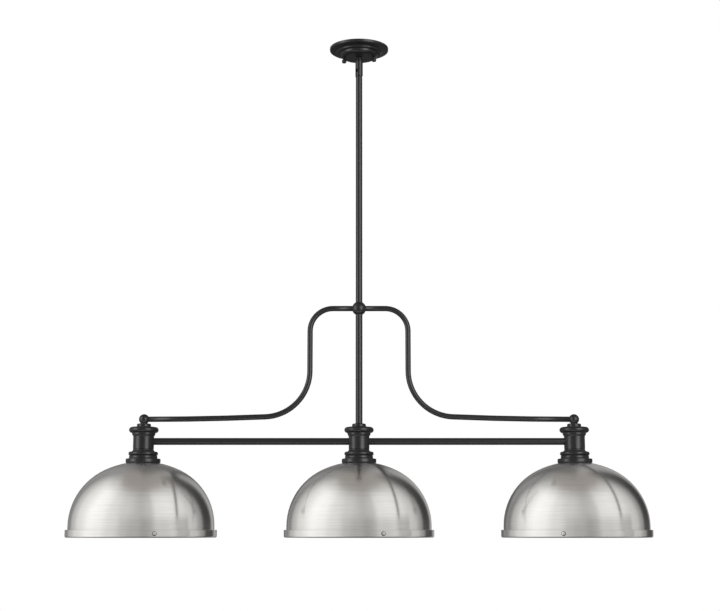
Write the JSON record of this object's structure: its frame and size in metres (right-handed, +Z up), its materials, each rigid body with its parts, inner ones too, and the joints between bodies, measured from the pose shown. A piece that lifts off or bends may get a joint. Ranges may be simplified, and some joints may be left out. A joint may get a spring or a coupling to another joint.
{
  "type": "linear island pendant",
  "caption": "Long ceiling pendant: dome shades in a row under a straight bar, two bent arms from a ball on one rod, a round canopy and a swivel that lets the rod hang straight.",
  "frame": {"origin": "centre of the box crossbar, on the ceiling and on the axis of the rod", "axes": "+Z up through the ceiling, +X along the bars from column to column, -Y towards the front"},
  "size_m": [1.379, 0.354, 1.2207],
  "materials": {
    "black_metal": "satin black powder coat with a fine grain",
    "brushed_nickel": "brushed nickel plate, brushed round the axis",
    "nickel_fasteners": "bright nickel",
    "zinc_steel": "zinc plated steel, dull",
    "green_screw": "green dyed plate",
    "connector_plastic": "moulded plastic",
    "lead_insulation": "smooth insulation",
    "porcelain": "white glaze",
    "shell_brass": "drawn sheet",
    "cap_aluminium": "drawn sheet",
    "bulb_glass": "opal coated inside"
  },
  "bodies": {
    "ceiling_mount": {"box_crossbar": "zinc_steel", "canopy_crossbar": "zinc_steel", "canopy_screws": "zinc_steel", "canopy": "black_metal", "canopy_knobs": "black_metal", "ground_screw": "green_screw", "mount_nipple": "zinc_steel", "nipple_nuts": "zinc_steel", "swivel_fork": "black_metal", "swivel_pin": "black_metal", "wire_connectors": "connector_plastic", "supply_leads": "lead_insulation"},
    "fixture": {"swivel_tongue": "black_metal", "downrod": "black_metal", "centre_ball": "black_metal", "lower_stem": "black_metal", "arm_left": "black_metal", "arm_right": "black_metal", "end_ball_left": "black_metal", "end_ball_right": "black_metal", "bar_left": "black_metal", "bar_right": "black_metal", "rod_lead": "lead_insulation", "lamp_leads": "lead_insulation", "column_nuts": "zinc_steel", "rim_screws": "nickel_fasteners", "rim_nuts": "nickel_fasteners", "lamp_nipples": "zinc_steel", "retaining_plates": "zinc_steel", "column_disc_left": "black_metal", "column_flange_left": "black_metal", "column_body_left": "black_metal", "shade_holder_left": "black_metal", "dome_shade_left": "brushed_nickel", "rim_band_left": "brushed_nickel", "lamp_socket_left": "porcelain", "screw_shell_left": "shell_brass", "bulb_cap_left": "cap_aluminium", "bulb_glass_left": "bulb_glass", "column_disc_centre": "black_metal", "column_flange_centre": "black_metal", "column_body_centre": "black_metal", "shade_holder_centre": "black_metal", "dome_shade_centre": "brushed_nickel", "rim_band_centre": "brushed_nickel", "lamp_socket_centre": "porcelain", "screw_shell_centre": "shell_brass", "bulb_cap_centre": "cap_aluminium", "bulb_glass_centre": "bulb_glass", "column_disc_right": "black_metal", "column_flange_right": "black_metal", "column_body_right": "black_metal", "shade_holder_right": "black_metal", "dome_shade_right": "brushed_nickel", "rim_band_right": "brushed_nickel", "lamp_socket_right": "porcelain", "screw_shell_right": "shell_brass", "bulb_cap_right": "cap_aluminium", "bulb_glass_right": "bulb_glass"}
  },
  "joints": [
    {"name": "swivel_tilt", "type": "hinge", "parent": "ceiling_mount", "child": "fixture", "pos_m": [0, 0, -0.0646], "axis": [0.7071, -0.7071, 0], "range_deg": [-45, 45]}
  ]
}
